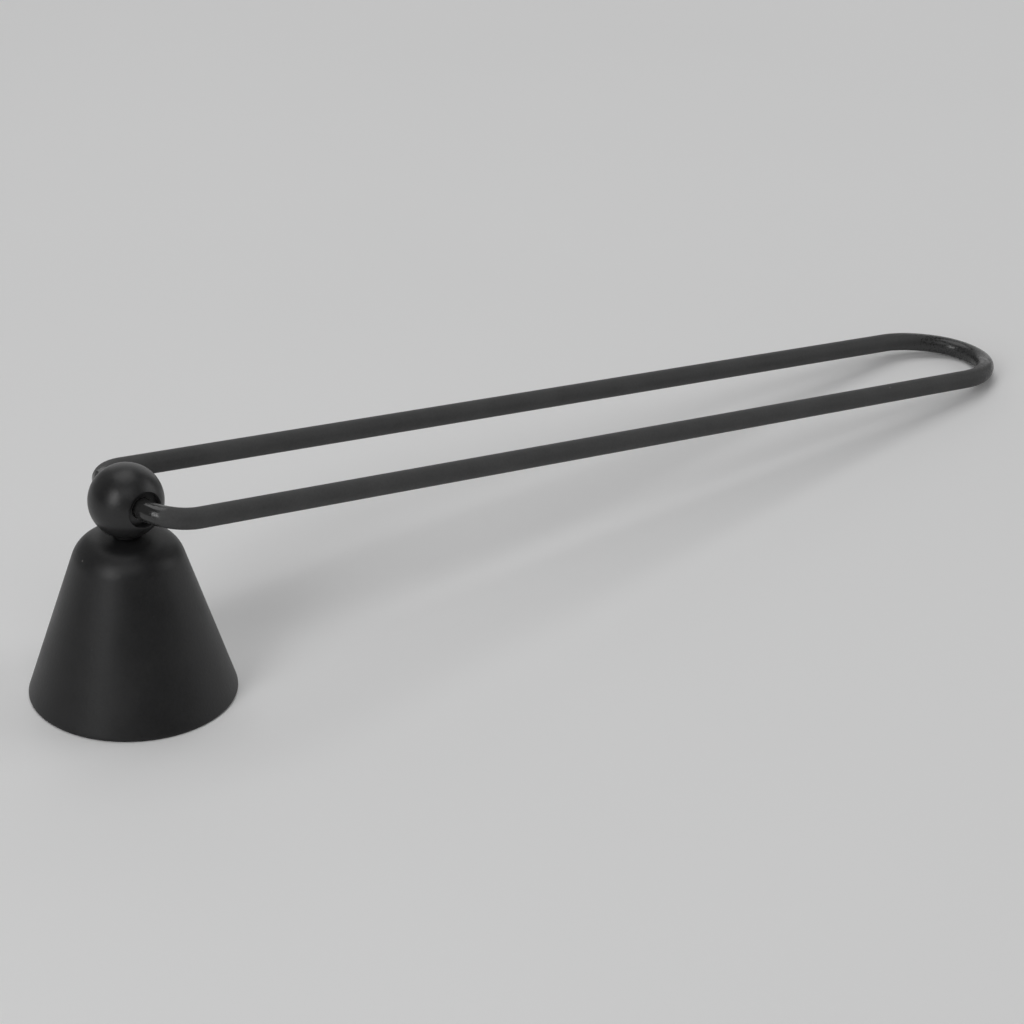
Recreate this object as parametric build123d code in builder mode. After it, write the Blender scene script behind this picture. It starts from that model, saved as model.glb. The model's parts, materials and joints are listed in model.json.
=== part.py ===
from build123d import *

import os
from math import acos, asin, degrees

# A candle snuffer. A thin conical bell stands on its rim, a turned ball is screwed to
# its top, and one long loop of round wire pivots in a cross hole through the ball.
# Millimetres, +Z up. The origin is the centre of the bell's rim, +X runs along the
# handle and Y is the pivot's axis. The handle rests with its far end on the ground.

# Driving dimensions: the bell
RIM_RADIUS = 14.6
CONE_TOP_RADIUS = 6.67  # where the cone would meet the flat top if the shoulder were sharp
BELL_HEIGHT = 24.2
SHOULDER_RADIUS = 4.6
BELL_WALL = 0.9
RIM_EDGE_ROUND = 0.25

# Driving dimensions: the ball and its cross hole
BALL_RADIUS = 5.2
BALL_CENTRE_HEIGHT = 29.45
SEAT_RADIUS = 1.95
PIVOT_HEIGHT = 29.75
PIVOT_HOLE_RADIUS = 1.58
MOUTH_RADIUS = 2.4
MOUTH_FLOOR = 3.7  # distance of the wider mouth's floor from the middle of the ball
MOUTH_EDGE_ROUND = 0.15

# Driving dimensions: the wire handle
WIRE_RADIUS = 1.5
HANDLE_SPACING = 18.7  # between the two runs, centre to centre
HANDLE_REACH = 177.0  # pivot axis to the wire's centre at the far end
PIVOT_BEND_RADIUS = 5.55
STUB_END_GAP = 1.2  # between the two wire ends inside the ball
WIRE_END_CHAMFER = 0.25
FAR_ARCH_LENGTH = 12.0
FAR_NOSE_RADIUS = 7.6

# Driving dimensions: the M3 screw and its washers
SCREW_RADIUS = 1.46
SCREW_LENGTH = 5.0
SCREW_TIP_CHAMFER = 0.3
HEAD_RADIUS = 2.8
HEAD_HEIGHT = 2.0
HEAD_CROWN_ROUND = 1.1
RECESS_ARM_LENGTH = 3.0
RECESS_ARM_WIDTH = 0.6
RECESS_DEPTH = 1.1
RECESS_TAPER = 6
CLEARANCE_HOLE_RADIUS = 1.7
TAPPED_HOLE_RADIUS = 1.5
TAPPED_HOLE_DEPTH = 3.6
FLAT_WASHER_RADIUS = 3.5
FLAT_WASHER_THICKNESS = 0.5
LOCK_WASHER_RADIUS = 2.7
LOCK_WASHER_THICKNESS = 0.7
LOCK_WASHER_SPLIT = 0.5
LOCK_WASHER_SPLIT_ANGLE = 20

# Heights under the bell's top, from the sheet down to the screw's head
sheet_underside = BELL_HEIGHT - BELL_WALL
flat_washer_underside = sheet_underside - FLAT_WASHER_THICKNESS
head_seat = flat_washer_underside - LOCK_WASHER_THICKNESS

# The floors of the cross hole's two wider mouths, each facing out of the ball
near_mouth_plane = Plane(origin=(0, -MOUTH_FLOOR, PIVOT_HEIGHT), z_dir=(0, -1, 0))
far_mouth_plane = Plane(origin=(0, MOUTH_FLOOR, PIVOT_HEIGHT), z_dir=(0, 1, 0))

# The loop's plane tips down until its far end rests on the ground
half_spacing = HANDLE_SPACING / 2
rest_droop = degrees(asin((PIVOT_HEIGHT - WIRE_RADIUS) / HANDLE_REACH))
handle_plane = Plane(origin=(0, 0, PIVOT_HEIGHT)).rotated((0, rest_droop, 0))

# The far end is a three-centred arch: a side arc, a tighter nose arc, a side arc
nose_offset = FAR_ARCH_LENGTH - FAR_NOSE_RADIUS
far_side_radius = (nose_offset**2 + half_spacing**2 - FAR_NOSE_RADIUS**2) / (
    2 * (half_spacing - FAR_NOSE_RADIUS)
)
far_side_turn = 90 - degrees(acos(nose_offset / (far_side_radius - FAR_NOSE_RADIUS)))
far_nose_turn = 180 - 2 * far_side_turn

# The bell: a cone with a rounded shoulder, hollowed to its sheet from the open rim
with BuildPart() as snuffer_bell:
    with BuildSketch(Plane.XZ):
        with BuildLine():
            Polyline(
                (0, 0),
                (RIM_RADIUS, 0),
                (CONE_TOP_RADIUS, BELL_HEIGHT),
                (0, BELL_HEIGHT),
                close=True,
            )
        make_face()
    revolve(axis=Axis.Z)
    fillet(snuffer_bell.edges().filter_by(GeomType.CIRCLE).sort_by(Axis.Z)[-1], SHOULDER_RADIUS)
    offset(amount=-BELL_WALL, openings=snuffer_bell.faces().sort_by(Axis.Z)[0])
    fillet(snuffer_bell.edges().group_by(Axis.Z)[0], RIM_EDGE_ROUND)
    with Locations((0, 0, BELL_HEIGHT)):
        Hole(CLEARANCE_HOLE_RADIUS, depth=2 * BELL_WALL)

# The ball: turned in one piece with its seat, cross drilled for the handle's ends and
# tapped from below for the screw
with BuildPart() as pivot_ball:
    with Locations((0, 0, BALL_CENTRE_HEIGHT)):
        Sphere(BALL_RADIUS)
    with BuildSketch(Plane.XY.offset(BELL_HEIGHT)):
        Circle(SEAT_RADIUS)
    extrude(amount=BALL_RADIUS / 2)
    split(bisect_by=Plane.XY.offset(BELL_HEIGHT), keep=Keep.TOP)
    with BuildSketch(near_mouth_plane):
        Circle(PIVOT_HOLE_RADIUS)
    extrude(amount=-2 * BALL_RADIUS, mode=Mode.SUBTRACT)
    with BuildSketch(near_mouth_plane, far_mouth_plane):
        Circle(MOUTH_RADIUS)
    extrude(amount=BALL_RADIUS, mode=Mode.SUBTRACT)
    mouth_edges = pivot_ball.edges().sort_by(Axis.Y)
    fillet((mouth_edges[0], mouth_edges[-1]), MOUTH_EDGE_ROUND)
    with BuildSketch(Plane.XY.offset(BELL_HEIGHT)):
        Circle(TAPPED_HOLE_RADIUS)
    extrude(amount=TAPPED_HOLE_DEPTH, mode=Mode.SUBTRACT)

# The handle: one wire, from its first end inside the ball, round the loop to its other end
with BuildPart() as handle_loop:
    with BuildLine(handle_plane) as wire_path:
        near_stub = Line((0, -STUB_END_GAP / 2), (0, PIVOT_BEND_RADIUS - half_spacing))
        near_bend = JernArc(near_stub @ 1, near_stub % 1, PIVOT_BEND_RADIUS, 90)
        near_run = Line(near_bend @ 1, (HANDLE_REACH - FAR_ARCH_LENGTH, -half_spacing))
        near_side = JernArc(near_run @ 1, near_run % 1, far_side_radius, far_side_turn)
        nose = JernArc(near_side @ 1, near_side % 1, FAR_NOSE_RADIUS, far_nose_turn)
        far_side = JernArc(nose @ 1, nose % 1, far_side_radius, far_side_turn)
        far_run = Line(far_side @ 1, (PIVOT_BEND_RADIUS, half_spacing))
        far_bend = JernArc(far_run @ 1, far_run % 1, PIVOT_BEND_RADIUS, 90)
        far_stub = Line(far_bend @ 1, (0, STUB_END_GAP / 2))
    with BuildSketch(Plane(origin=near_stub @ 0, z_dir=near_stub % 0)):
        Circle(WIRE_RADIUS)
    sweep()
    wire_ends = handle_loop.faces().filter_by(GeomType.PLANE)
    chamfer(wire_ends.edges(), WIRE_END_CHAMFER)

# The screw: pan head inside the bell, shank up through the sheet into the ball. Its
# thread, like the ball's, is left as a plain cylinder
with BuildPart() as bell_screw:
    with BuildSketch(Plane.XY.offset(head_seat)):
        Circle(SCREW_RADIUS)
    extrude(amount=SCREW_LENGTH)
    chamfer(bell_screw.edges().sort_by(Axis.Z)[-1], SCREW_TIP_CHAMFER)
    with BuildSketch(Plane.XY.offset(head_seat - HEAD_HEIGHT)):
        Circle(HEAD_RADIUS)
    extrude(amount=HEAD_HEIGHT)
    fillet(bell_screw.edges().sort_by(Axis.Z)[0], HEAD_CROWN_ROUND)
    with BuildSketch(Plane.XY.offset(head_seat - HEAD_HEIGHT)):
        Rectangle(RECESS_ARM_LENGTH, RECESS_ARM_WIDTH)
        Rectangle(RECESS_ARM_WIDTH, RECESS_ARM_LENGTH)
    extrude(amount=RECESS_DEPTH, taper=RECESS_TAPER, mode=Mode.SUBTRACT)

# The plain washer under the bell's top
with BuildPart() as flat_washer:
    with BuildSketch(Plane.XY.offset(flat_washer_underside)):
        Circle(FLAT_WASHER_RADIUS)
        Circle(CLEARANCE_HOLE_RADIUS, mode=Mode.SUBTRACT)
    extrude(amount=FLAT_WASHER_THICKNESS)

# The spring lock washer, pressed flat, with its split cut on a slant through the thickness
with BuildPart() as spring_lock_washer:
    with BuildSketch(Plane.XY.offset(head_seat)):
        Circle(LOCK_WASHER_RADIUS)
        Circle(CLEARANCE_HOLE_RADIUS, mode=Mode.SUBTRACT)
    extrude(amount=LOCK_WASHER_THICKNESS)
    with BuildSketch(Plane.YZ.offset(CLEARANCE_HOLE_RADIUS / 2)):
        with Locations((0, head_seat + LOCK_WASHER_THICKNESS / 2)):
            Rectangle(
                LOCK_WASHER_SPLIT,
                2 * LOCK_WASHER_THICKNESS,
                rotation=LOCK_WASHER_SPLIT_ANGLE,
            )
    extrude(amount=LOCK_WASHER_RADIUS, mode=Mode.SUBTRACT)

# Each piece is written as its own file
os.makedirs("parts", exist_ok=True)
snuffer_bell.part.label = "snuffer_bell"
export_step(snuffer_bell.part, "parts/snuffer_bell.step")
pivot_ball.part.label = "pivot_ball"
export_step(pivot_ball.part, "parts/pivot_ball.step")
handle_loop.part.label = "handle_loop"
export_step(handle_loop.part, "parts/handle_loop.step")
bell_screw.part.label = "bell_screw"
export_step(bell_screw.part, "parts/bell_screw.step")
flat_washer.part.label = "flat_washer"
export_step(flat_washer.part, "parts/flat_washer.step")
spring_lock_washer.part.label = "spring_lock_washer"
export_step(spring_lock_washer.part, "parts/spring_lock_washer.step")
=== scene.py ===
import json
import math

import bmesh
import bpy
import numpy as np
from mathutils import Matrix, Vector


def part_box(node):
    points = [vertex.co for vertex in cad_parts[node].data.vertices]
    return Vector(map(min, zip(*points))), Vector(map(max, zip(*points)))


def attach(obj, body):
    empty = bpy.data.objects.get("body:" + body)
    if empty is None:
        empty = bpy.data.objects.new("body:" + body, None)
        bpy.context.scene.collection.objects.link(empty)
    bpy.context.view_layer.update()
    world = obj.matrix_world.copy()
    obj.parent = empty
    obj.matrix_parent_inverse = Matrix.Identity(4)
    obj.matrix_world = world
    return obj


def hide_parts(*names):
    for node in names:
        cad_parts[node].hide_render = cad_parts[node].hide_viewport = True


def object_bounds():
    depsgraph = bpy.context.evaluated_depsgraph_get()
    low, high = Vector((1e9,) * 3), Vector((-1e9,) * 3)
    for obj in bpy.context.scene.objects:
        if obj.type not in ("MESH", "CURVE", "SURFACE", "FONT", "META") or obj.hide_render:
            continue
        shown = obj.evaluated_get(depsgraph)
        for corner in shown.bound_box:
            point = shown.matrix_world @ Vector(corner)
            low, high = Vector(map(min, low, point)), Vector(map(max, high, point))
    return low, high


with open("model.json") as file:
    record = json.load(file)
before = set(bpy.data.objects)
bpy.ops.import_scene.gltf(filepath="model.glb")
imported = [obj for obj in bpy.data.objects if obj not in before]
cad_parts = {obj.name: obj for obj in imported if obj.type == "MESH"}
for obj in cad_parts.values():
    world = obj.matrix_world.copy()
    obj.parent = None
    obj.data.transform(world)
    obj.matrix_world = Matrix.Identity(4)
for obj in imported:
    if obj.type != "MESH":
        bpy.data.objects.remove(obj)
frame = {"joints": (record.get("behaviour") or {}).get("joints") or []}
cad_low, cad_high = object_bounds()


# Snuffer bell. A disc of thin steel is pressed into a cone with a rounded shoulder and a
# small flat top, pierced for its screw. The rim is trimmed plain and its edge eased, and
# the whole bell is powder coated matte black.

BELL_WALL = 0.0009
CONE_TOP_RADIUS = 0.00667
SHOULDER_RADIUS = 0.0046
RIM_EDGE_ROUND = 0.00030
SCREW_HOLE_RADIUS = 0.0017
BELL_SEGMENTS = 224
BELL_TONES = ((0.0100, 0.0100, 0.0106, 1), (0.0180, 0.0180, 0.0186, 1))
RUBBED_STEEL = (0.30, 0.29, 0.28, 1)
DUST_GREY = (0.11, 0.105, 0.10, 1)
COAT_RELIEF_DEPTH = 0.000014
GRIT_PER_PEEL = 4.5
MOTTLE_SCALE = 160
WEAR_BREAK_SCALE = 2600
DUST_CELL_SCALE = 420
DUST_SHARE = 0.04
SHARP_ANGLE = math.radians(40)
HOLE_UPPER_ROUND = 0.00012
HOLE_LOWER_ROUND = 0.00008
BELL_POINT_SPACING = 0.00026
RIM_WEAR = 0.50
RIM_WEAR_REACH = 0.00035
HOLE_WEAR = 0.5
HOLE_WEAR_REACH = 0.0003


def rounded_outline(corners, radii, spacing):
    """A closed outline in the (radius, height) plane: at each corner an arc tangent to
    both sides, its centre on the corner's bisector at radius over the sine of half the
    corner's angle, and points at an even spacing on the straight stretches between."""
    corners = np.array(corners, float)
    to_last = np.roll(corners, 1, axis=0) - corners
    to_next = np.roll(corners, -1, axis=0) - corners
    to_last /= np.linalg.norm(to_last, axis=1)[:, None]
    to_next /= np.linalg.norm(to_next, axis=1)[:, None]
    arcs = []
    for corner, back, ahead, radius in zip(corners, to_last, to_next, radii):
        half_angle = math.acos(np.clip(back @ ahead, -1, 1)) / 2
        bisector = (back + ahead) / np.linalg.norm(back + ahead)
        centre = corner + bisector * radius / math.sin(half_angle)
        reach = radius / math.tan(half_angle)
        start, end = corner + back * reach - centre, corner + ahead * reach - centre
        sweep = math.pi - 2 * half_angle
        steps = max(5, int(radius * sweep / spacing) + 2)
        share = np.linspace(0, 1, steps)[:, None]
        blend = np.sin((1 - share) * sweep) * start + np.sin(share * sweep) * end
        arcs.append(centre + blend / math.sin(sweep))
    outline = []
    for arc, following in zip(arcs, arcs[1:] + arcs[:1]):
        gap = following[0] - arc[-1]
        count = max(2, int(np.linalg.norm(gap) / spacing) + 2)
        outline += [arc, arc[-1] + np.linspace(0, 1, count)[1:-1, None] * gap]
    return np.concatenate(outline)


def turned(outline, segments):
    """A grid of points, outline by angle: each outline point goes round the Z axis at its
    own radius, as radius times (cos, sin) of evenly spaced angles."""
    angle = np.arange(segments) * 2 * math.pi / segments
    radius, height = outline[:, 0, None], outline[:, 1, None]
    return np.stack([radius * np.cos(angle), radius * np.sin(angle), height + 0 * angle], axis=2)


def surface_piece(name, grid, closed_rows=True, closed_columns=True):
    """A mesh from a grid of points: one four-sided face between each two rows and columns,
    the last joined to the first where that way is closed."""
    rows, columns = grid.shape[:2]
    index = np.arange(rows * columns).reshape(rows, columns)
    if closed_rows:
        index = np.concatenate([index, index[:1]], axis=0)
    if closed_columns:
        index = np.concatenate([index, index[:, :1]], axis=1)
    corners = [index[:-1, :-1], index[:-1, 1:], index[1:, 1:], index[1:, :-1]]
    faces = np.stack(corners, axis=2).reshape(-1, 4)
    mesh = bpy.data.meshes.new(name)
    mesh.from_pydata(grid.reshape(-1, 3).tolist(), [], faces.tolist())
    piece = bpy.data.objects.new(name, mesh)
    bpy.context.scene.collection.objects.link(piece)
    return piece


def finish_surface(piece):
    """Merges the doubles at poles, turns every face outwards and shades the piece smooth
    but for its sharp edges."""
    work = bmesh.new()
    work.from_mesh(piece.data)
    bmesh.ops.remove_doubles(work, verts=work.verts, dist=1e-7)
    bmesh.ops.dissolve_degenerate(work, edges=work.edges, dist=1e-8)
    bmesh.ops.recalc_face_normals(work, faces=work.faces)
    work.to_mesh(piece.data)
    work.free()
    piece.data.polygons.foreach_set("use_smooth", np.ones(len(piece.data.polygons), bool))
    piece.data.set_sharp_from_angle(angle=SHARP_ANGLE)


def vertex_places(piece):
    """The piece's vertices as an array of points."""
    places = np.zeros(len(piece.data.vertices) * 3)
    piece.data.vertices.foreach_get("co", places)
    return places.reshape(-1, 3)


def store_wear(piece, wear):
    """Keeps how rubbed each vertex is, from 0 to 1, as the piece's own attribute."""
    attribute = piece.data.attributes.new("wear", "FLOAT", "POINT")
    attribute.data.foreach_set("value", np.clip(wear, 0, 1).astype(np.float32))


def place(tree, kind, inputs=None, **settings):
    """Adds a node to a tree with its settings, and its inputs set or linked by name."""
    node = tree.nodes.new(kind)
    for key, value in settings.items():
        setattr(node, key, value)
    for key, value in (inputs or {}).items():
        if isinstance(value, bpy.types.NodeSocket):
            tree.links.new(value, node.inputs[key])
        else:
            node.inputs[key].default_value = value
    return node


def effect_group(name, inputs, outputs):
    """An empty shader node group with named sockets, and its input and output nodes."""
    group = bpy.data.node_groups.new(name, "ShaderNodeTree")
    for label, kind in inputs:
        group.interface.new_socket(name=label, in_out="INPUT", socket_type="NodeSocket" + kind)
    for label, kind in outputs:
        group.interface.new_socket(name=label, in_out="OUTPUT", socket_type="NodeSocket" + kind)
    return group, place(group, "NodeGroupInput").outputs, place(group, "NodeGroupOutput").inputs


def coat_texture_group():
    """Powder coat: a soft orange peel and a fine grit for relief, and a slow mottling that
    moves the tone between its two blacks and the gloss between satin and matte."""
    group, given, result = effect_group(
        "coat_texture",
        [("Vector", "Vector"), ("Peel Scale", "Float"), ("Grit Scale", "Float"),
         ("Mottle Scale", "Float"), ("Deep Tone", "Color"), ("Soft Tone", "Color"),
         ("Satin", "Float"), ("Matte", "Float")],
        [("Tone", "Color"), ("Roughness", "Float"), ("Relief", "Float")])
    peel = place(group, "ShaderNodeTexNoise",
                 {"Vector": given["Vector"], "Scale": given["Peel Scale"], "Detail": 1.0})
    grit = place(group, "ShaderNodeTexNoise",
                 {"Vector": given["Vector"], "Scale": given["Grit Scale"], "Detail": 2.0})
    mottle = place(group, "ShaderNodeTexNoise",
                   {"Vector": given["Vector"], "Scale": given["Mottle Scale"], "Detail": 4.0})
    grit_share = place(group, "ShaderNodeMath", {0: grit.outputs["Fac"], 1: 0.35}, operation="MULTIPLY")
    relief = place(group, "ShaderNodeMath", {0: peel.outputs["Fac"], 1: grit_share.outputs[0]},
                   operation="ADD")
    patch = place(group, "ShaderNodeMapRange",
                  {"Value": mottle.outputs["Fac"], "From Min": 0.32, "From Max": 0.68})
    speckled = place(group, "ShaderNodeMath", {0: relief.outputs[0], 1: 1.2, 2: patch.outputs[0]},
                     operation="MULTIPLY_ADD")
    share = place(group, "ShaderNodeMapRange",
                  {"Value": speckled.outputs[0], "From Min": 0.5, "From Max": 2.1})
    tone = place(group, "ShaderNodeMix", {"Factor": share.outputs[0], 6: given["Deep Tone"],
                                          7: given["Soft Tone"]}, data_type="RGBA")
    gloss = place(group, "ShaderNodeMapRange",
                  {"Value": share.outputs[0], "To Min": given["Satin"], "To Max": given["Matte"]})
    group.links.new(tone.outputs[2], result["Tone"])
    group.links.new(gloss.outputs[0], result["Roughness"])
    group.links.new(relief.outputs[0], result["Relief"])
    return group


def worn_mask_group():
    """Wear broken up by the surface: the wear of each place, moved by a fine noise, is cut
    to a soft-edged mask, so that rubbed spots are ragged and thin out."""
    group, given, result = effect_group(
        "worn_mask",
        [("Vector", "Vector"), ("Wear", "Float"), ("Break Scale", "Float")],
        [("Mask", "Float")])
    ragged = place(group, "ShaderNodeTexNoise",
                   {"Vector": given["Vector"], "Scale": given["Break Scale"], "Detail": 5.0,
                    "Roughness": 0.7})
    moved = place(group, "ShaderNodeMath", {0: ragged.outputs["Fac"], 1: given["Wear"]}, operation="ADD")
    mask = place(group, "ShaderNodeMapRange",
                 {"Value": moved.outputs[0], "From Min": 1.0, "From Max": 1.35},
                 interpolation_type="SMOOTHSTEP")
    group.links.new(mask.outputs[0], result["Mask"])
    return group


def dust_specks_group():
    """Sparse specks: in a few of the cells of a cell pattern, a small round spot at the
    cell's own point."""
    group, given, result = effect_group(
        "dust_specks",
        [("Vector", "Vector"), ("Cell Scale", "Float"), ("Share", "Float")],
        [("Mask", "Float")])
    cells = place(group, "ShaderNodeTexVoronoi", {"Vector": given["Vector"], "Scale": given["Cell Scale"]})
    spot = place(group, "ShaderNodeMapRange",
                 {"Value": cells.outputs["Distance"], "From Min": 0.10, "From Max": 0.05},
                 interpolation_type="SMOOTHSTEP")
    lot = place(group, "ShaderNodeSeparateColor", {"Color": cells.outputs["Color"]})
    chosen = place(group, "ShaderNodeMath", {0: lot.outputs["Red"], 1: given["Share"]}, operation="LESS_THAN")
    mask = place(group, "ShaderNodeMath", {0: spot.outputs[0], 1: chosen.outputs[0]}, operation="MULTIPLY")
    group.links.new(mask.outputs[0], result["Mask"])
    return group


coat_texture = coat_texture_group()
worn_mask = worn_mask_group()
dust_specks = dust_specks_group()


def black_coat(name, peel_scale, tones, gloss_range,
               worn_tone, worn_gloss, worn_to_metal, sheen_level):
    """Black coat over steel: the coat's texture between its two tones and two glosses,
    rubbed smooth or through to metal where the piece's wear says so, with a little dust."""
    material = bpy.data.materials.new(name)
    material.use_nodes = True
    tree = material.node_tree
    shader = tree.nodes["Principled BSDF"]
    place_on_piece = place(tree, "ShaderNodeTexCoord").outputs["Object"]
    wear = place(tree, "ShaderNodeAttribute", attribute_name="wear").outputs["Fac"]
    coat = place(tree, "ShaderNodeGroup", node_tree=coat_texture)
    for key, value in {"Peel Scale": peel_scale, "Grit Scale": peel_scale * GRIT_PER_PEEL,
                       "Mottle Scale": MOTTLE_SCALE,
                       "Deep Tone": tones[0], "Soft Tone": tones[1],
                       "Satin": gloss_range[0], "Matte": gloss_range[1]}.items():
        coat.inputs[key].default_value = value
    tree.links.new(place_on_piece, coat.inputs["Vector"])
    rubbed = place(tree, "ShaderNodeGroup", node_tree=worn_mask)
    rubbed.inputs["Break Scale"].default_value = WEAR_BREAK_SCALE
    tree.links.new(place_on_piece, rubbed.inputs["Vector"])
    tree.links.new(wear, rubbed.inputs["Wear"])
    dust = place(tree, "ShaderNodeGroup", node_tree=dust_specks)
    dust.inputs["Cell Scale"].default_value = DUST_CELL_SCALE
    dust.inputs["Share"].default_value = DUST_SHARE
    tree.links.new(place_on_piece, dust.inputs["Vector"])
    rubbed_tone = place(tree, "ShaderNodeMix", {"Factor": rubbed.outputs["Mask"],
                                                6: coat.outputs["Tone"], 7: worn_tone}, data_type="RGBA")
    dusty_tone = place(tree, "ShaderNodeMix", {"Factor": dust.outputs["Mask"], 6: rubbed_tone.outputs[2],
                                               7: DUST_GREY}, data_type="RGBA")
    gloss = place(tree, "ShaderNodeMix", {"Factor": rubbed.outputs["Mask"], 2: coat.outputs["Roughness"],
                                          3: worn_gloss}, data_type="FLOAT")
    relief = place(tree, "ShaderNodeBump", {"Strength": 1.0, "Distance": COAT_RELIEF_DEPTH,
                                            "Height": coat.outputs["Relief"]})
    tree.links.new(dusty_tone.outputs[2], shader.inputs["Base Color"])
    tree.links.new(gloss.outputs[0], shader.inputs["Roughness"])
    if worn_to_metal:
        tree.links.new(rubbed.outputs["Mask"], shader.inputs["Metallic"])
    tree.links.new(relief.outputs["Normal"], shader.inputs["Normal"])
    shader.inputs["Specular IOR Level"].default_value = sheen_level
    return material


bell_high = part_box("snuffer_bell")[1]
bell_rim_radius = bell_high.x + RIM_EDGE_ROUND / 3
bell_top = bell_high.z
cone_lean = math.atan2(bell_rim_radius - CONE_TOP_RADIUS, bell_top)
wall_across = BELL_WALL / math.cos(cone_lean)
inner_rise = (bell_top - BELL_WALL) * math.tan(cone_lean)
bell_outline = rounded_outline(
    [(bell_rim_radius, 0), (CONE_TOP_RADIUS, bell_top), (SCREW_HOLE_RADIUS, bell_top),
     (SCREW_HOLE_RADIUS, bell_top - BELL_WALL),
     (bell_rim_radius - wall_across - inner_rise, bell_top - BELL_WALL),
     (bell_rim_radius - wall_across, 0)],
    [RIM_EDGE_ROUND, SHOULDER_RADIUS, HOLE_UPPER_ROUND, HOLE_LOWER_ROUND,
     SHOULDER_RADIUS - BELL_WALL, RIM_EDGE_ROUND], BELL_POINT_SPACING)
bell = surface_piece("snuffer_bell_coated", turned(bell_outline, BELL_SEGMENTS))
finish_surface(bell)
bell_places = vertex_places(bell)
bell_radius = np.hypot(bell_places[:, 0], bell_places[:, 1])
rim_wear = RIM_WEAR * np.exp(-((bell_places[:, 2] / RIM_WEAR_REACH) ** 2))
hole_wear = HOLE_WEAR * np.exp(-(((bell_radius - SCREW_HOLE_RADIUS) / HOLE_WEAR_REACH) ** 2))
store_wear(bell, rim_wear + hole_wear)
bell.data.materials.append(black_coat("bell_black_powder_coat", 2300, BELL_TONES, (0.38, 0.50),
                                       RUBBED_STEEL, 0.45, True, 0.42))
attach(bell, "head")
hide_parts("snuffer_bell")


# Pivot ball. Turned from bar in one piece with the low round seat that stands on the
# bell's top, cross drilled for the handle's ends with a wider mouth at each side, and
# tapped from below for the screw. Blacked to a satin finish.

SEAT_RADIUS = 0.00195
TAPPED_HOLE_RADIUS = 0.0015
TAPPED_HOLE_DEPTH = 0.0036
PIVOT_HOLE_RADIUS = 0.00158
MOUTH_RADIUS = 0.0024
MOUTH_FLOOR = 0.0037
MOUTH_EDGE_ROUND = 0.00022
BALL_ROWS = 150
BALL_COLUMNS = 176
ON_AXIS_ROUND = 1e-7
TAP_CORNER_ROUND = 1e-5
TAP_OVERSHOOT = 0.001
LIP_WEAR = 0.42
LIP_WEAR_REACH = 0.00022
BORE_WEAR = 0.7
BALL_TONES = ((0.0120, 0.0120, 0.0126, 1), (0.0210, 0.0210, 0.0214, 1))

ball_low, ball_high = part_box("pivot_ball")
ball_radius = (ball_high.x - ball_low.x) / 2
ball_centre = ball_high.z - ball_radius
pivot_height = frame["joints"][0]["pos_m"][2]


def drilled_ball(rows, columns):
    """A grid round the cross hole's axis. Its rows go out along the hole, over the ball
    from mouth to mouth and back in: on the ball, the distance from the hole's axis is the
    one at which the sphere's equation holds, and the ball's ends stop where that distance
    is the mouth's radius. The mouths' edges are quarter rounds."""
    turn = np.arange(columns) * 2 * math.pi / columns
    across, up = np.cos(turn), np.sin(turn)
    offset = pivot_height - ball_centre
    edge_radius = MOUTH_RADIUS + MOUTH_EDGE_ROUND
    reach = np.sqrt(ball_radius**2 - (edge_radius * across) ** 2 - (edge_radius * up + offset) ** 2)
    share = np.sin(np.linspace(-1, 1, rows) * math.pi / 2)[:, None]
    along = share * reach
    distance = np.sqrt(ball_radius**2 - along**2 - (offset * across) ** 2) - offset * up
    quarter = np.linspace(0, math.pi / 2, 7)[1:, None]
    lip_along = reach - MOUTH_EDGE_ROUND * (1 - np.cos(quarter)) * 1.6
    lip_distance = edge_radius - MOUTH_EDGE_ROUND * np.sin(quarter) + 0 * reach
    wall_along = np.linspace(lip_along[-1], MOUTH_FLOOR + 0 * reach, 9)[1:]
    floor_distance = np.linspace(MOUTH_RADIUS, PIVOT_HOLE_RADIUS, 5)[1:, None] + 0 * reach
    bore_along = np.linspace(MOUTH_FLOOR, -MOUTH_FLOOR, 25)[1:-1, None] + 0 * reach
    inward_along = np.concatenate([lip_along, wall_along, MOUTH_FLOOR + 0 * floor_distance])
    inward_distance = np.concatenate([lip_distance, MOUTH_RADIUS + 0 * wall_along, floor_distance])
    along = np.concatenate([along, inward_along, bore_along, -inward_along[::-1]])
    distance = np.concatenate([distance, inward_distance, PIVOT_HOLE_RADIUS + 0 * bore_along,
                               inward_distance[::-1]])
    return np.stack([distance * across, along, pivot_height + distance * up], axis=2)


def cut_with(piece, cutter, operation):
    """Joins or cuts the piece with another solid, keeps the result and removes the other."""
    change = piece.modifiers.new("cut", "BOOLEAN")
    change.object, change.operation, change.solver = cutter, operation, "EXACT"
    evaluated = piece.evaluated_get(bpy.context.evaluated_depsgraph_get())
    changed = bpy.data.meshes.new_from_object(evaluated)
    piece.modifiers.remove(change)
    piece.data = changed
    bpy.data.objects.remove(cutter)


ball = surface_piece("pivot_ball_turned", drilled_ball(BALL_ROWS, BALL_COLUMNS))
finish_surface(ball)
seat_outline = rounded_outline(
    [(0, ball_low.z), (SEAT_RADIUS, ball_low.z), (SEAT_RADIUS, ball_centre - ball_radius / 2),
     (0, ball_centre - ball_radius / 2)], [ON_AXIS_ROUND, 0.00020, 0.00010, ON_AXIS_ROUND], 0.0002)
seat = surface_piece("seat_blank", turned(seat_outline, 120))
finish_surface(seat)
cut_with(ball, seat, "UNION")
tap_top = ball_low.z + TAPPED_HOLE_DEPTH
tap_outline = rounded_outline(
    [(0, ball_low.z - TAP_OVERSHOOT), (TAPPED_HOLE_RADIUS, ball_low.z - TAP_OVERSHOOT),
     (TAPPED_HOLE_RADIUS, tap_top), (0, tap_top)],
    [ON_AXIS_ROUND, TAP_CORNER_ROUND, TAP_CORNER_ROUND, ON_AXIS_ROUND], 0.0004)
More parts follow.
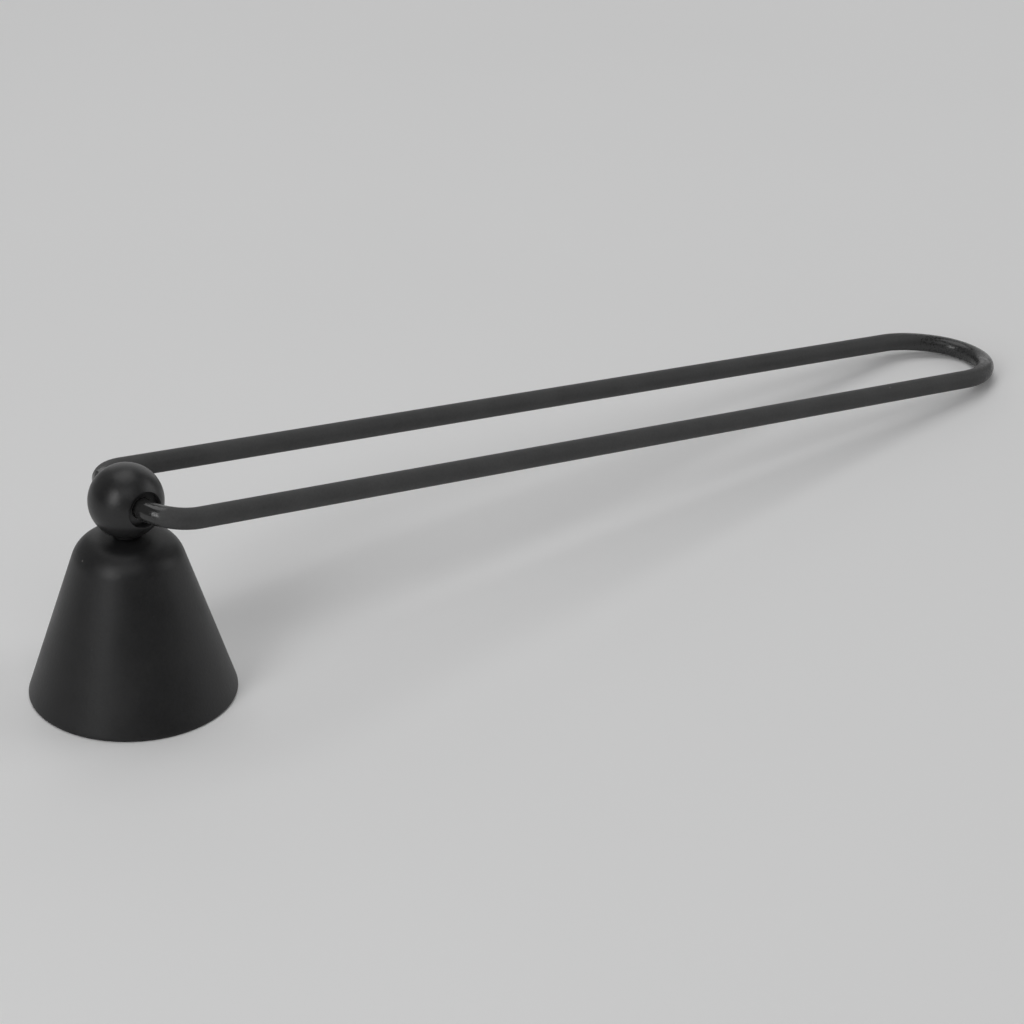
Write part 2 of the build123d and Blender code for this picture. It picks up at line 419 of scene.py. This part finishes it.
tap = surface_piece("tap_drill", turned(tap_outline, 96))
finish_surface(tap)
cut_with(ball, tap, "DIFFERENCE")
finish_surface(ball)
ball_places = vertex_places(ball)
from_hole_axis = np.hypot(ball_places[:, 0], ball_places[:, 2] - pivot_height)
outside = np.abs(ball_places[:, 1]) > MOUTH_FLOOR + 0.0006
from_lip = from_hole_axis - MOUTH_RADIUS - MOUTH_EDGE_ROUND
lip_wear = LIP_WEAR * np.exp(-((from_lip / LIP_WEAR_REACH) ** 2)) * outside
bore_wear = BORE_WEAR * (from_hole_axis < PIVOT_HOLE_RADIUS + 0.00001)
store_wear(ball, lip_wear + bore_wear)
ball.data.materials.append(black_coat("ball_black_satin", 3000, BALL_TONES, (0.31, 0.42),
                                       RUBBED_STEEL, 0.35, True, 0.42))
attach(ball, "head")
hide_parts("pivot_ball")


# Plain washer. Stamped from zinc-plated steel sheet, so its upper outside edge is rolled
# a little and its lower one is sharp. It spreads the screw's pull over the bell's top.

WASHER_HOLE_RADIUS = 0.0017
ZINC_BRIGHT = (0.62, 0.62, 0.60, 1)
ZINC_DULL = (0.42, 0.42, 0.41, 1)
PLATING_CLOUD_SCALE = 900
PLATING_RELIEF_DEPTH = 0.000006


def plated_steel_group():
    """Zinc on steel: cloudy patches between a bright and a dull tone, a finer cloud in the
    gloss, and the turning or stamping lines as rings round the piece's axis for relief."""
    group, given, result = effect_group(
        "plated_steel",
        [("Vector", "Vector"), ("Cloud Scale", "Float"), ("Ring Scale", "Float"),
         ("Bright", "Color"), ("Dull", "Color")],
        [("Tone", "Color"), ("Roughness", "Float"), ("Relief", "Float")])
    cloud = place(group, "ShaderNodeTexNoise",
                  {"Vector": given["Vector"], "Scale": given["Cloud Scale"], "Detail": 4.0})
    tone = place(group, "ShaderNodeMix", {"Factor": cloud.outputs["Fac"], 6: given["Bright"],
                                          7: given["Dull"]}, data_type="RGBA")
    gloss = place(group, "ShaderNodeMapRange",
                  {"Value": cloud.outputs["Fac"], "From Min": 0.3, "From Max": 0.7,
                   "To Min": 0.24, "To Max": 0.42})
    rings = place(group, "ShaderNodeTexWave",
                  {"Vector": given["Vector"], "Scale": given["Ring Scale"], "Distortion": 1.2,
                   "Detail": 2.0, "Detail Scale": 1.5},
                  wave_type="RINGS", rings_direction="Z")
    group.links.new(tone.outputs[2], result["Tone"])
    group.links.new(gloss.outputs[0], result["Roughness"])
    group.links.new(rings.outputs["Fac"], result["Relief"])
    return group


plated_steel = plated_steel_group()


def plated(name, bright, dull, ring_scale):
    """Plated fastener steel: a full metal with the plating's clouds and fine rings."""
    material = bpy.data.materials.new(name)
    material.use_nodes = True
    tree = material.node_tree
    shader = tree.nodes["Principled BSDF"]
    zinc = place(tree, "ShaderNodeGroup", node_tree=plated_steel)
    for key, value in {"Cloud Scale": PLATING_CLOUD_SCALE, "Ring Scale": ring_scale,
                       "Bright": bright, "Dull": dull}.items():
        zinc.inputs[key].default_value = value
    tree.links.new(place(tree, "ShaderNodeTexCoord").outputs["Object"], zinc.inputs["Vector"])
    relief = place(tree, "ShaderNodeBump", {"Strength": 0.6, "Distance": PLATING_RELIEF_DEPTH,
                                            "Height": zinc.outputs["Relief"]})
    tree.links.new(zinc.outputs["Tone"], shader.inputs["Base Color"])
    tree.links.new(zinc.outputs["Roughness"], shader.inputs["Roughness"])
    tree.links.new(relief.outputs["Normal"], shader.inputs["Normal"])
    shader.inputs["Metallic"].default_value = 1.0
    return material


washer_low, washer_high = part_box("flat_washer")
washer_outline = rounded_outline(
    [(washer_high.x, washer_low.z), (washer_high.x, washer_high.z),
     (WASHER_HOLE_RADIUS, washer_high.z), (WASHER_HOLE_RADIUS, washer_low.z)],
    [0.00004, 0.00016, 0.00004, 0.00009], 0.00008)
washer = surface_piece("flat_washer_stamped", turned(washer_outline, 144))
finish_surface(washer)
washer.data.materials.append(plated("washer_zinc", ZINC_BRIGHT, ZINC_DULL, 1700))
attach(washer, "head")
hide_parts("flat_washer")


# Spring lock washer. A short length of square-edged spring wire coiled to one turn and cut
# on a slant. The tightened screw presses it flat between its head and the plain washer.

SPRING_TONE = (0.40, 0.39, 0.38, 1)
SPRING_DULL = (0.24, 0.24, 0.24, 1)
SPLIT_WIDTH = 0.0005
SPLIT_SLANT = math.radians(20)

spring_low, spring_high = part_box("spring_lock_washer")
spring_radius = spring_high.y
spring_section = rounded_outline(
    [(spring_radius, spring_low.z), (spring_radius, spring_high.z),
     (WASHER_HOLE_RADIUS, spring_high.z), (WASHER_HOLE_RADIUS, spring_low.z)],
    [0.00010, 0.00010, 0.00008, 0.00008], 0.00008)


def split_ring(section, turns):
    """The section carried round the Z axis from one side of the split to the other. The
    angle at which each point starts and ends leans with its height, so the cut slants, and
    the first and last rows close to a point to cap the ends."""
    radius, height = section[:, 0], section[:, 1]
    middle = section.mean(axis=0)
    lean = np.tan(SPLIT_SLANT) * (height - middle[1]) / radius
    start, end = SPLIT_WIDTH / 2 / radius + lean, 2 * math.pi - SPLIT_WIDTH / 2 / radius + lean
    share = np.linspace(0, 1, turns)[:, None]
    angle = start + share * (end - start)
    ring = np.stack([radius * np.cos(angle), radius * np.sin(angle), height + 0 * angle], axis=2)
    first, last = ring[0].mean(axis=0) + 0 * ring[:1], ring[-1].mean(axis=0) + 0 * ring[:1]
    return np.concatenate([first, ring, last])


spring = surface_piece("spring_lock_washer_coiled", split_ring(spring_section, 132), closed_rows=False)
finish_surface(spring)
spring.data.materials.append(plated("spring_steel_bright", SPRING_TONE, SPRING_DULL, 2600))
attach(spring, "head")
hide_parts("spring_lock_washer")


# Bell screw. An M3 pan-head machine screw with a cross recess, cold headed, thread rolled
# and zinc plated. It goes up through both washers and the bell's top into the ball.

THREAD_PITCH = 0.0005
THREAD_DEPTH = 0.00026
SCREW_RADIUS = 0.00146
HEAD_HEIGHT = 0.0020
HEAD_CROWN_ROUND = 0.0011
RECESS_REACH = 0.00155
RECESS_HALF_WIDTH = 0.00034
RECESS_DEPTH = 0.00115
RECESS_WALL_STEEPNESS = 4.5
THREAD_RUNOUT = 0.0004

screw_low, screw_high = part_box("bell_screw")
head_radius = screw_high.x


def screw_surface(columns):
    """A grid from the middle of the head's face, over the crown and under the head, up the
    thread to the tip. On the face the height falls into the cross recess, whose floor rises
    towards the arms' ends and whose walls are steep. On the shank the radius follows the
    height less the angle's share of the pitch, so that the ridge winds up as a thread."""
    turn = np.arange(columns) * 2 * math.pi / columns
    flat_radius = head_radius - HEAD_CROWN_ROUND
    face = np.linspace(0, flat_radius, 74)
    crown = np.linspace(0, math.pi / 2, 20)[1:]
    head_top = screw_low.z + HEAD_HEIGHT
    shank = np.linspace(head_top, screw_high.z, 190)
    under = np.linspace(head_radius, SCREW_RADIUS, 12)[1:]
    radius = np.concatenate([face, flat_radius + HEAD_CROWN_ROUND * np.sin(crown), [head_radius] * 6,
                             under, 0 * shank + SCREW_RADIUS, [SCREW_RADIUS * 0.5, 0]])
    height = np.concatenate([screw_low.z + 0 * face, screw_low.z + HEAD_CROWN_ROUND * (1 - np.cos(crown)),
                             np.linspace(screw_low.z + HEAD_CROWN_ROUND, head_top, 7)[1:],
                             head_top + 0 * under, shank, [screw_high.z] * 2])
    radius, height = radius[:, None] + 0 * turn, height[:, None] + 0 * turn
    along = radius * np.maximum(np.abs(np.cos(turn)), np.abs(np.sin(turn)))
    beside = radius * np.minimum(np.abs(np.cos(turn)), np.abs(np.sin(turn)))
    floor = RECESS_DEPTH * (1 - (along / RECESS_REACH) ** 2)
    wall = RECESS_WALL_STEEPNESS * (RECESS_HALF_WIDTH - beside)
    on_face = np.arange(len(radius))[:, None] < len(face)
    height = height + on_face * np.clip(np.minimum(floor, wall), 0, None)
    wound = (height - head_top) / THREAD_PITCH - turn / (2 * math.pi)
    ridge = 1 - np.abs(2 * (wound % 1) - 1)
    ends = (np.clip((height - head_top) / THREAD_RUNOUT, 0, 1)
            * np.clip((screw_high.z - height) / THREAD_RUNOUT, 0, 1))
    on_shank = ((height > head_top + 1e-6) & (radius < SCREW_RADIUS + 1e-6)
                & (radius > SCREW_RADIUS * 0.9))
    tip = np.clip((height - screw_high.z + THREAD_RUNOUT) / THREAD_RUNOUT, 0, 1) * on_shank
    radius = radius - on_shank * THREAD_DEPTH * ((1 - ridge) * ends + tip)
    return np.stack([radius * np.cos(turn), radius * np.sin(turn), height], axis=2)


screw = surface_piece("bell_screw_pan_head", screw_surface(168), closed_rows=False)
finish_surface(screw)
screw.data.materials.append(plated("screw_zinc", ZINC_BRIGHT, ZINC_DULL, 1100))
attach(screw, "head")
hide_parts("bell_screw")


# Handle loop. One length of round steel wire bent to a long loop, its far end a flattened
# arch and its two ends turned in to meet inside the ball, where they are the pivot. The
# black coat is polished where the wire rubs in the ball and scuffed where the loop lies.

WIRE_RADIUS = 0.0015
HANDLE_SPACING = 0.0187
HANDLE_REACH = 0.177
PIVOT_BEND_RADIUS = 0.00555
STUB_END_GAP = 0.0012
WIRE_END_CHAMFER = 0.00025
FAR_ARCH_LENGTH = 0.012
FAR_NOSE_RADIUS = 0.0076
WIRE_COLUMNS = 56
WIRE_POINT_SPACING = 0.00042
PIVOT_POLISH = 1.2
PIVOT_POLISH_REACH = 0.0033
FAR_SCUFF = 0.74
FAR_SCUFF_START = 0.150
FAR_SCUFF_LENGTH = 0.022
WIRE_TONES = ((0.0330, 0.0330, 0.0334, 1), (0.0660, 0.0660, 0.0660, 1))
POLISHED_BLACK = (0.030, 0.030, 0.030, 1)

half_spacing = HANDLE_SPACING / 2
rest_droop = math.asin((pivot_height - WIRE_RADIUS) / HANDLE_REACH)
nose_offset = FAR_ARCH_LENGTH - FAR_NOSE_RADIUS
far_side_radius = ((nose_offset**2 + half_spacing**2 - FAR_NOSE_RADIUS**2)
                   / (2 * (half_spacing - FAR_NOSE_RADIUS)))
far_side_turn = math.asin(nose_offset / (far_side_radius - FAR_NOSE_RADIUS))


def bent_wire(stretches, start, heading, spacing):
    """The wire's centreline in its own plane, with its heading at each point, from a list
    of stretches (length, turn): a straight stretch goes on along the heading, and a bent
    one is an arc of radius length over turn about a centre square to the heading."""
    points, headings = [np.array([start])], [np.array([heading])]
    for length, turn in stretches:
        count = max(2, int(length / spacing))
        share = np.linspace(0, 1, count + 1)[1:]
        angle = heading + share * turn
        if turn:
            radius = length / turn
            steps = radius * np.stack([np.sin(angle) - math.sin(heading),
                                       math.cos(heading) - np.cos(angle)], axis=1)
        else:
            steps = length * share[:, None] * np.array([math.cos(heading), math.sin(heading)])
        points.append(points[-1][-1] + steps)
        headings.append(angle)
        heading += turn
    return np.concatenate(points), np.concatenate(headings)


quarter_turn = math.pi / 2
stub = (half_spacing - PIVOT_BEND_RADIUS - STUB_END_GAP / 2, 0)
pivot_bend = (PIVOT_BEND_RADIUS * quarter_turn, quarter_turn)
run = (HANDLE_REACH - FAR_ARCH_LENGTH - PIVOT_BEND_RADIUS, 0)
far_side = (far_side_radius * far_side_turn, far_side_turn)
nose_turn = math.pi - 2 * far_side_turn
nose = (FAR_NOSE_RADIUS * nose_turn, nose_turn)
wire_line, wire_heading = bent_wire(
    [stub, pivot_bend, run, far_side, nose, far_side, run, pivot_bend, stub],
    (0, -STUB_END_GAP / 2), -quarter_turn, WIRE_POINT_SPACING)


def round_wire(line, heading):
    """The wire's surface: at each point of its line a ring of the wire's radius, in the
    plane square to the heading, then the loop's plane is tipped down by its droop and set
    at the pivot's height. The ends taper by their chamfer and close to a point."""
    step = np.linalg.norm(np.diff(line, axis=0), axis=1)
    travelled = np.concatenate([[0], np.cumsum(step)])
    to_end = np.minimum(travelled, travelled[-1] - travelled)
    radius = np.minimum(WIRE_RADIUS, WIRE_RADIUS - WIRE_END_CHAMFER + to_end)
    line = np.concatenate([line[:1], line, line[-1:]])
    heading = np.concatenate([heading[:1], heading, heading[-1:]])
    radius = np.concatenate([[0], radius, [0]])[:, None]
    turn = np.arange(WIRE_COLUMNS) * 2 * math.pi / WIRE_COLUMNS
    sideways, upward = radius * np.cos(turn), radius * np.sin(turn)
    forward = line[:, :1] + sideways * np.sin(heading)[:, None]
    across = line[:, 1:] - sideways * np.cos(heading)[:, None]
    level = np.stack([forward, across, upward], axis=2)
    tip = np.array([[math.cos(rest_droop), 0, -math.sin(rest_droop)], [0, 1, 0],
                    [math.sin(rest_droop), 0, math.cos(rest_droop)]])
    return level @ tip + np.array([0, 0, pivot_height])


handle = surface_piece("handle_loop_wire", round_wire(wire_line, wire_heading), closed_rows=False)
finish_surface(handle)
handle_places = vertex_places(handle)
from_ball = np.linalg.norm(handle_places - np.array([0, 0, ball_centre]), axis=1)
past_ball = np.maximum(from_ball - ball_radius, 0)
pivot_polish = PIVOT_POLISH * np.exp(-((past_ball / PIVOT_POLISH_REACH) ** 2))
far_scuff = FAR_SCUFF * np.clip((handle_places[:, 0] - FAR_SCUFF_START) / FAR_SCUFF_LENGTH, 0, 1)
store_wear(handle, pivot_polish + far_scuff)
handle.data.materials.append(black_coat("wire_black_matte", 2600, WIRE_TONES, (0.60, 0.78),
                                         POLISHED_BLACK, 0.14, False, 0.50))
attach(handle, "handle")
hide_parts("handle_loop")


# Table. A plain pale matt sheet, opaque from both sides, that the bell's rim and the loop's
# far end lie on.

TABLE_SIDE = 6.0
TABLE_TONE = (0.93, 0.93, 0.93, 1)
TABLE_SHADE = (0.90, 0.90, 0.90, 1)

table_corners = np.array([[-1, -1, 0], [1, -1, 0], [1, 1, 0], [-1, 1, 0]]) * TABLE_SIDE / 2
table_mesh = bpy.data.meshes.new("table")
table_mesh.from_pydata(table_corners.tolist(), [], [(0, 1, 2, 3)])
table = bpy.data.objects.new("table", table_mesh)
bpy.context.scene.collection.objects.link(table)
table_material = bpy.data.materials.new("table_pale")
table_material.use_nodes = True
table_tree = table_material.node_tree
table_shader = table_tree.nodes["Principled BSDF"]
table_cloud = place(table_tree, "ShaderNodeTexNoise",
                    {"Vector": place(table_tree, "ShaderNodeTexCoord").outputs["Object"], "Scale": 9.0})
table_tone = place(table_tree, "ShaderNodeMix", {"Factor": table_cloud.outputs["Fac"], 6: TABLE_TONE,
                                                 7: TABLE_SHADE}, data_type="RGBA")
table_tree.links.new(table_tone.outputs[2], table_shader.inputs["Base Color"])
table_shader.inputs["Roughness"].default_value = 0.9
table_shader.inputs["Specular IOR Level"].default_value = 0.0
table.data.materials.append(table_material)


# Studio light: a dark room with a pale backdrop. Soft boxes stand above, in front, at the
# left and right, and behind, where they draw the thin bright edges.

BACKDROP_STRENGTH = 0.96
ROOM_STRENGTH = 0.02

bpy.context.scene.view_settings.view_transform = "Standard"
room = bpy.data.worlds.new("room")
bpy.context.scene.world = room
room.use_nodes = True
room_light = room.node_tree.nodes["Background"]
room_light.inputs["Color"].default_value = (1, 1, 1, 1)
backdrop_seen = place(room.node_tree, "ShaderNodeLightPath").outputs["Is Camera Ray"]
backdrop = place(room.node_tree, "ShaderNodeMapRange",
                 {"Value": backdrop_seen, "To Min": ROOM_STRENGTH, "To Max": BACKDROP_STRENGTH})
room.node_tree.links.new(backdrop.outputs[0], room_light.inputs["Strength"])

object_centre = (cad_low + cad_high) / 2


def turned_from(azimuth, elevation):
    """The unit direction from the object out to a place at that azimuth and elevation, in
    degrees, azimuth 0 being in front of the object, on the side of -Y."""
    around, above = math.radians(azimuth), math.radians(elevation)
    return Vector((math.sin(around) * math.cos(above), -math.cos(around) * math.cos(above),
                   math.sin(above)))


def soft_box(name, azimuth, elevation, distance, side, power):
    """A square area light at that direction and distance from the object's centre, turned
    to it."""
    light = bpy.data.lights.new(name, "AREA")
    light.shape, light.size, light.energy = "SQUARE", side, power
    box = bpy.data.objects.new(name, light)
    outward = turned_from(azimuth, elevation)
    box.location = object_centre + outward * distance
    box.visible_camera = False
    box.rotation_mode = "QUATERNION"
    box.rotation_quaternion = outward.to_track_quat("Z", "Y")
    bpy.context.scene.collection.objects.link(box)


soft_box("top_box", 165, 75, 1.1, 0.85, 3.8)
soft_box("front_top_box", -30, 50, 1.0, 0.5, 0.9)
soft_box("left_low_box", -76, 19, 0.9, 0.32, 1.15)
soft_box("left_high_box", -77, 36, 0.9, 0.32, 1.2)
soft_box("right_box", 62, 24, 1.1, 0.75, 2.6)
soft_box("back_box", 138, 12, 1.2, 1.4, 4.7)
soft_box("back_left_box", -160, 20, 1.2, 1.2, 1.0)


# Camera: a long lens, looking along the handle from the bell's side.

CAMERA_AZIMUTH = -41.6
CAMERA_ELEVATION = 27.74
CAMERA_ROLL = 1.446
CAMERA_DISTANCE = 0.4592
CAMERA_LENS = 105.8
AIM_RIGHT = -0.00837
AIM_UP = -0.01453

toward_camera = turned_from(CAMERA_AZIMUTH, CAMERA_ELEVATION)
level_right = Vector((0, 0, 1)).cross(toward_camera).normalized()
level_up = toward_camera.cross(level_right)
aim = object_centre + level_right * AIM_RIGHT + level_up * AIM_UP
roll = math.radians(CAMERA_ROLL)
camera_right = level_right * math.cos(roll) + level_up * math.sin(roll)
camera_up = level_up * math.cos(roll) - level_right * math.sin(roll)
camera_data = bpy.data.cameras.new("camera")
camera_data.lens, camera_data.clip_start, camera_data.clip_end = CAMERA_LENS, 0.01, 20
camera = bpy.data.objects.new("camera", camera_data)
bpy.context.scene.collection.objects.link(camera)
camera_turn = Matrix((camera_right, camera_up, toward_camera)).transposed().to_4x4()
camera.matrix_world = Matrix.Translation(aim + toward_camera * CAMERA_DISTANCE) @ camera_turn
bpy.context.scene.camera = camera
